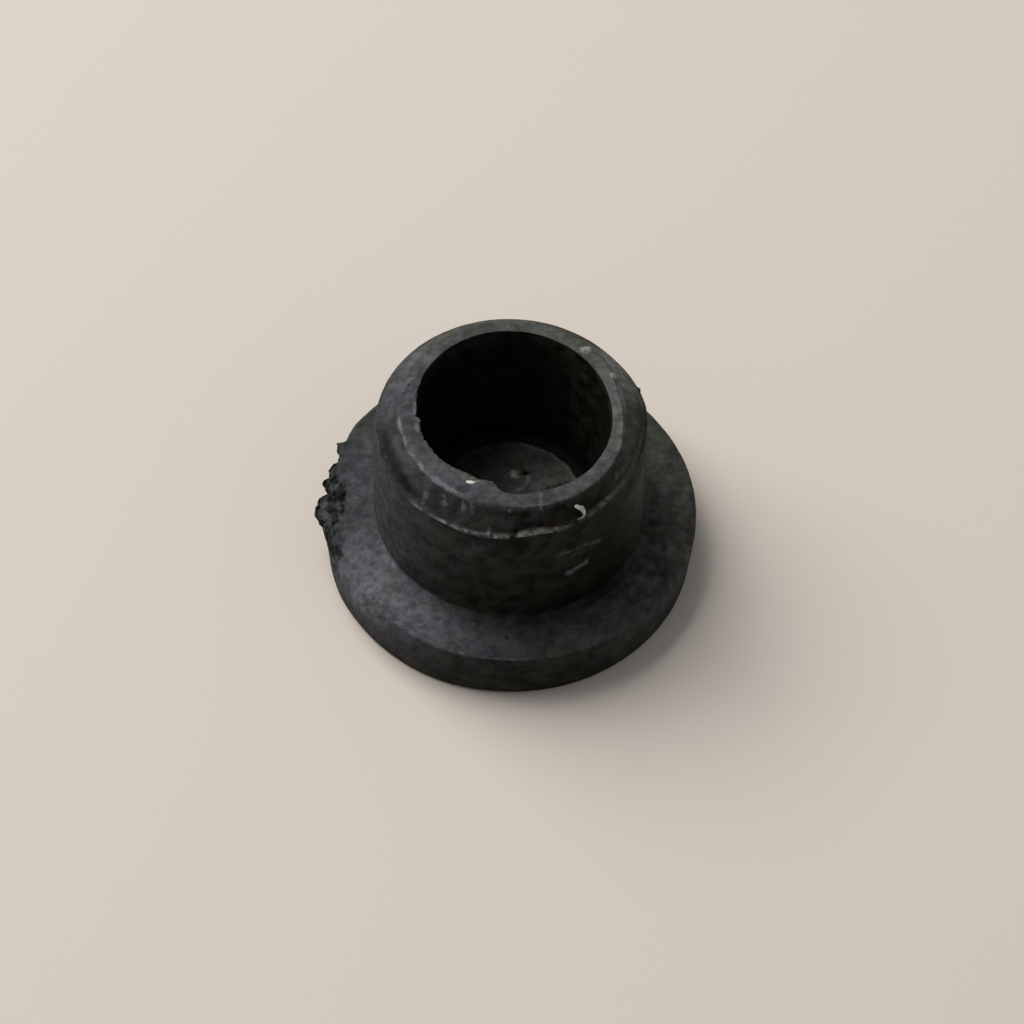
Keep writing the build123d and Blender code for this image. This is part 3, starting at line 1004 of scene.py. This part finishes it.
def makeBlackRubber():
    paintwork, tree, shader, spot = newMaterial("blackRubber")
    look = rubberFinish
    grain = place(tree, skinGrain, -1200, 500, spot)
    mottledDustAndLight = place(tree, dustVeil, -1200, 200, spot, Amount=maskNode(tree, "bloom", -1450, 200))
    edgeMask = place(tree, wornEdge, -1200, 0, spot, Amount=maskNode(tree, "wear", -1450, -200)).outputs["Mask"]
    grime = maskNode(tree, "grime", -1450, -400)
    scar = maskNode(tree, "scar", -1450, -600)
    # painted shade: where its mask is 1 the rubber is darkened, and the pale dust and painted light are kept
    # off
    unshaded = calc(tree, "SUBTRACT", -1100, 100, 1.0, grime)
    dust = calc(tree, "MULTIPLY", -1000, 200, mottledDustAndLight.outputs["Mask"], unshaded)
    apart = feed(tree, newNode(tree, "ShaderNodeSeparateXYZ", -1200, -800), {"Vector": spot})
    tint = calc(tree, "MULTIPLY_ADD", -1100, 700, apart.outputs["X"], -0.07, grain.outputs["Tint"])
    plain = blendColour(tree, -1000, 600, tint, look["plainRubber"], look["plumRubber"])
    colour = blendColour(tree, -900, 400, grain.outputs["Shade"], look["darkRubber"], plain)
    colour = blendColour(tree, -750, 400, grime, colour, look["grime"])
    # dust, and light painted as dust: bluish in front on the left, yellower towards the back and the right
    warmth = calc(tree, "MULTIPLY_ADD", -1000, 800, apart.outputs["X"], 0.035, mottledDustAndLight.outputs["Tint"])
    warmth = calc(tree, "MULTIPLY_ADD", -850, 800, apart.outputs["Y"], 0.045, warmth)
    dustAndLightColour = blendColour(tree, -750, 600, warmth, look["dust"], look["warmDustAndLight"])
    halfWarm = calc(tree, "MULTIPLY_ADD", -850, 950, warmth, 0.5, 0.25)
    rubbedAndHighlightWarmth = calc(tree, "MULTIPLY_ADD", -700, 950, apart.outputs["X"], 0.16, halfWarm)
    rubbedAndHighlight = blendColour(tree, -450, 800, rubbedAndHighlightWarmth, look["rubbedAndHighlight"], look["warmRubbedAndHighlight"])
    colour = blendColour(tree, -600, 400, dust, colour, dustAndLightColour)
    # torn rubber is black, with pale crumbs standing up and painted glints on them
    crumbs = remap(tree, cloud(tree, spot, -750, -600, 1.8, 4.0, 0.6, 11.0), -600, -600, 0.36, 0.66)
    tornColour = blendColour(tree, -450, 600, crumbs, look["tornRubber"], look["tornPaleAndGlint"])
    colour = blendColour(tree, -450, 400, scar, colour, tornColour)
    # rubbed pale edges, with painted highlights on the lip, the flash, the flange's rim and the film's edge
    colour = blendColour(tree, -300, 400, edgeMask, colour, rubbedAndHighlight)
    # painted contact shade all round the flange's foot, with the floor's warm colour painted in as its
    # reflection
    ragged = calc(tree, "MULTIPLY_ADD", -900, -800, cloud(tree, spot, -1050, -900, 1.5, 3.0, 0.6, 12.0), -0.5,
                  apart.outputs["Z"])
    foot = remap(tree, ragged, -600, -800, 0.2, -0.05)
    colour = blendColour(tree, -150, 400, foot, colour, look["footShadeAndReflection"])
    for column, (kind, strokes) in enumerate(marks.items()):
        mask = None
        for index, (start, finish, width, strength) in enumerate(strokes):
            x, y = -900 + 500 * column, -1100 - 220 * index
            one = place(tree, stroke, x, y, spot, From=start, To=finish, Width=width, Strength=strength)
            one = one.outputs["Mask"]
            mask = one if mask is None else calc(tree, "MAXIMUM", x + 200, y, mask, one)
        colour = blendColour(tree, 150 * column, 400, mask, colour, look[kind])
    coat = calc(tree, "MAXIMUM", 0, 0, calc(tree, "MULTIPLY", -200, 0, dust, 1.6), edgeMask)
    rough = remap(tree, coat, 300, 0, 0.0, 0.6, look["matt"], look["dusty"])
    feed(tree, shader, {"Base Color": colour, "Roughness": rough, "Specular IOR Level": look["shine"]})
    lift = calc(tree, "MULTIPLY", 150, -300, scar, 0.4)
    height = calc(tree, "MULTIPLY_ADD", 300, -300, lift, grain.outputs["Height"], grain.outputs["Height"])
    roughen(tree, shader, height, look["bump"], look["bumpDepth"])
    return paintwork


lintFinish = {
    "dull": (0.28, 0.275, 0.25),
    "pale": (0.56, 0.55, 0.50),
    "grey": (0.13, 0.13, 0.115),
    "matt": 0.8,
    "bump": 0.5,
    "bumpDepth": 0.03,
}


def makePaleLint():
    paintwork, tree, shader, spot = newMaterial("paleLint")
    look = lintFinish
    grain = place(tree, skinGrain, -1200, 300, spot)
    colour = blendColour(tree, -300, 300, grain.outputs["Shade"], look["dull"], look["pale"])
    colour = blendColour(tree, -100, 300, maskNode(tree, "grey", -300, 0), colour, look["grey"])
    feed(tree, shader, {"Base Color": colour, "Roughness": look["matt"]})
    roughen(tree, shader, grain.outputs["Height"], look["bump"], look["bumpDepth"])
    return paintwork


rubberPlug.data.materials.append(makeBlackRubber())
paleLint = makePaleLint()
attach(rubberPlug, "root")
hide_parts("rubber_plug")
print("stage: finishes")

# loose bits: a curl of flash on the cone, and lint caught on the film

curl = {
    "path": [
        (3.22, -5.46, 11.30), (3.42, -5.46, 11.24), (3.64, -5.46, 11.08), (3.80, -5.60, 10.94),
        (3.82, -5.84, 10.90), (3.66, -6.00, 10.92), (3.48, -6.10, 10.94),
    ],
    "widths": [0.08, 0.2, 0.2, 0.12, 0.06, 0.04, 0.02],
    "greyFrom": 0.42,  # share of its length after which it is grey
}
lint = {
    "path": [
        (-2.3, -4.52, 11.8), (-2.18, -4.56, 11.8), (-1.98, -4.58, 11.8), (-1.75, -4.52, 11.81),
        (-1.5, -4.4, 11.8),
    ],
    "widths": [0.055, 0.102, 0.09, 0.04, 0.018],
    "greyFrom": 0.45,
}
lintFork = {
    "path": [(-1.74, -4.53, 11.8), (-1.6, -4.58, 11.81), (-1.47, -4.66, 11.8)],
    "widths": [0.02, 0.022, 0.012],
    "greyFrom": -1,
}


def bentStrand(name, strand, flatness, finish):
    # a short rod, bent along its path and pressed flat
    deselectAll()
    bpy.ops.mesh.primitive_cylinder_add(vertices=12, radius=1, depth=1, location=(0, 0, 0.5))
    piece = bpy.context.object
    piece.name = name
    bpy.ops.object.transform_apply(location=True, rotation=True, scale=True)
    bpy.ops.object.mode_set(mode="EDIT")
    bpy.ops.mesh.select_mode(type="EDGE")
    subdivideWhere(piece, "edges", lambda edge: abs(edge.verts[0].co.z - edge.verts[1].co.z) > 0.5, 19)
    bpy.ops.object.mode_set(mode="OBJECT")
    path = [Vector(spot) for spot in strand["path"]]
    last = len(path) - 1
    layer = piece.data.attributes.new("grey", "FLOAT", "POINT")
    first = strand["greyFrom"]
    layer.data.foreach_set("value", [ease(first, first + 0.3, vertex.co.z) for vertex in piece.data.vertices])
    for vertex in piece.data.vertices:
        run = min(last - 0.0001, max(0, vertex.co.z * last))
        step = int(run)
        share = run - step
        ahead = (path[step + 1] - path[step]).normalized()
        side = ahead.cross(Vector((0, 0, 1))).normalized()
        centre = path[step].lerp(path[step + 1], share)
        width = strand["widths"][step] * (1 - share) + strand["widths"][step + 1] * share
        width *= 1 + 0.35 * ripple(centre, 0.12, 20)
        across = side * vertex.co.x * width
        vertex.co = (centre + across + Vector((0, 0, 1)) * vertex.co.y * width * flatness) * mm
    piece.data.materials.append(finish)
    pick(piece)
    bpy.ops.object.mode_set(mode="EDIT")
    faceOutwards()
    bpy.ops.object.shade_smooth_by_angle(angle=math.radians(50))
    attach(piece, "root")


bentStrand("flashCurl", curl, 0.45, paleLint)
bentStrand("lipLint", lint, 0.3, paleLint)
bentStrand("lipLintFork", lintFork, 0.4, paleLint)
print("stage: loose bits")

# floor, lights and camera

floorFinish = {"Base Color": (0.585, 0.52, 0.46, 1), "Roughness": 0.9, "Specular IOR Level": 0.1}
floorSize = 6
deselectAll()
bpy.ops.mesh.primitive_plane_add(size=floorSize, location=(0, 0, 0))
floor = bpy.context.object
floor.name = "floor"
floorPaint, floorTree, floorShader, _ = newMaterial("paleFloor")
feed(floorTree, floorShader, floorFinish)
floor.data.materials.append(floorPaint)

studio = {
    "key": {"place": (-0.26, 0.17, 0.40), "size": 0.42, "power": 3.3, "tint": (1.0, 0.99, 0.97)},
    "fill": {"place": (0.30, -0.20, 0.45), "size": 0.50, "power": 0.15, "tint": (0.96, 0.98, 1.0)},
}
airLight = {"Color": (0.9, 0.95, 1.0, 1), "Strength": 0.3}
lampAim = Vector((0, 0, 6)) * mm
for name, lamp in studio.items():
    data = bpy.data.lights.new(name, "AREA")
    data.shape = "SQUARE"
    data.size = lamp["size"]
    data.energy = lamp["power"]
    data.color = lamp["tint"]
    light = bpy.data.objects.new(name, data)
    light.location = lamp["place"]
    light.rotation_euler = (Vector(lamp["place"]) - lampAim).to_track_quat("Z", "Y").to_euler()
    bpy.context.scene.collection.objects.link(light)

air = bpy.data.worlds.new("studioAir")
air.use_nodes = True
feed(air.node_tree, air.node_tree.nodes["Background"], airLight)
bpy.context.scene.world = air

bench = {
    "elevation": 54.7,
    "roll": 1.68,
    "distance": 0.240,
    "frameWidth": 0.05541,
    "aimRight": 0.00010,
    "aimUp": 0.00171,
    "sensor": 36.0,
}
tilt = math.radians(bench["elevation"])
cameraPlace = Vector((0, -math.cos(tilt), math.sin(tilt))) * bench["distance"]
upInFrame = Vector((0, math.sin(tilt), math.cos(tilt)))
cameraAim = Vector((bench["aimRight"], 0, 0)) + upInFrame * bench["aimUp"]
cameraData = bpy.data.cameras.new("bench")
cameraData.sensor_width = bench["sensor"]
cameraData.lens = bench["sensor"] * bench["distance"] / bench["frameWidth"]
cameraData.clip_start = 0.005
cameraData.clip_end = 20
camera = bpy.data.objects.new("bench", cameraData)
camera.location = cameraPlace
facing = (cameraPlace - cameraAim).to_track_quat("Z", "Y").to_matrix()
camera.rotation_euler = (facing @ Matrix.Rotation(math.radians(bench["roll"]), 3, "Z")).to_euler()
bpy.context.scene.collection.objects.link(camera)
bpy.context.scene.camera = camera
bpy.context.scene.view_settings.view_transform = "Standard"
print("stage: studio")
